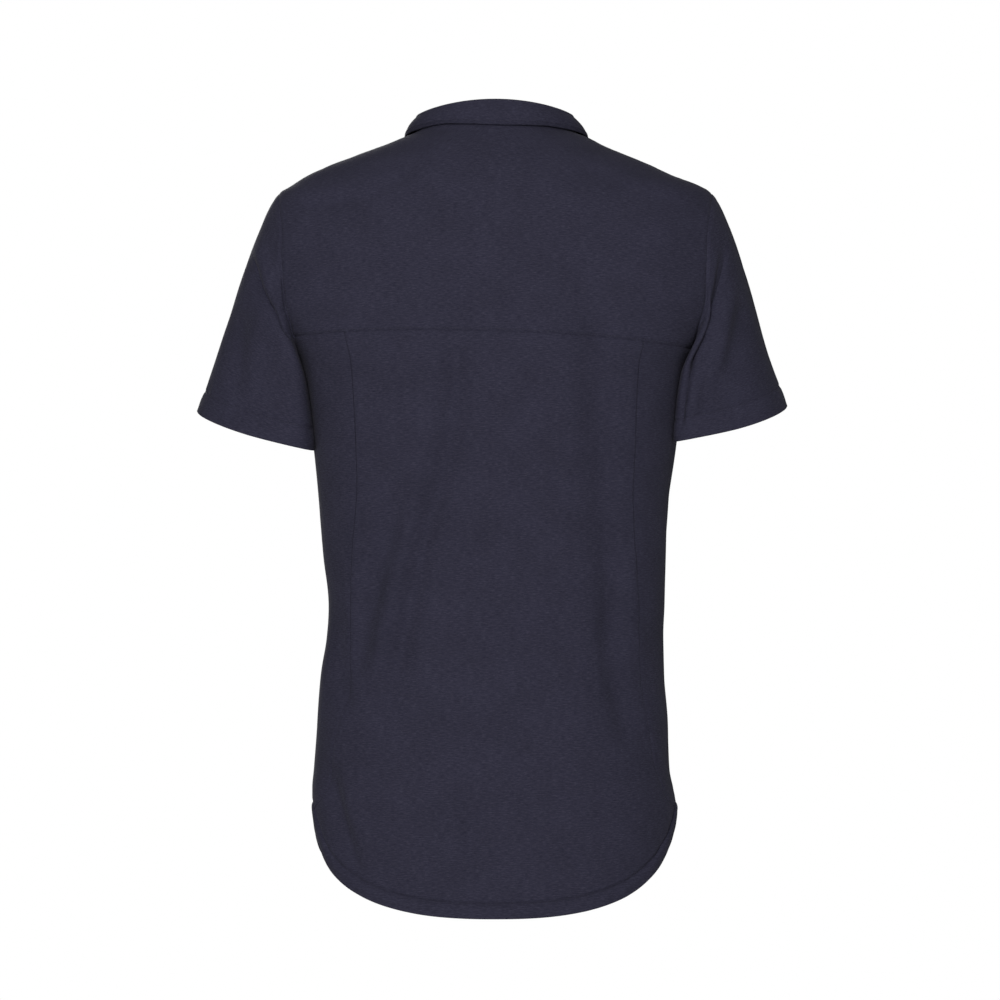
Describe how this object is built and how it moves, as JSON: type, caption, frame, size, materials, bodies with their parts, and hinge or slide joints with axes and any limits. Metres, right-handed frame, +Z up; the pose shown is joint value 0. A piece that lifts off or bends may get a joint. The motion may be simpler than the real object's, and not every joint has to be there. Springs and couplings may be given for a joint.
{
  "type": "polo shirt",
  "caption": "Short-sleeved polo shirt in worn form, with a turned-down collar, a buttoned placket, a back yoke and a rounded shirt-tail hem.",
  "frame": {"origin": "between the two shoulder points of the neck, at their height, where the wearer's shoulders hold the shirt", "axes": "+Z up, the front faces -Y, +X is the wearer's left"},
  "size_m": [0.5557, 0.2458, 0.7567],
  "materials": {
    "jersey": "dark navy heather jersey, matt",
    "button_plastic": "dark navy, satin"
  },
  "bodies": {
    "root": {"back_yoke": "jersey", "back": "jersey", "front": "jersey", "sleeve_left": "jersey", "sleeve_right": "jersey", "collar_stand": "jersey", "collar_fall": "jersey", "placket_over": "jersey", "placket_under": "jersey", "button_stand": "button_plastic", "button_placket_1": "button_plastic", "button_placket_2": "button_plastic"}
  },
  "joints": []
}
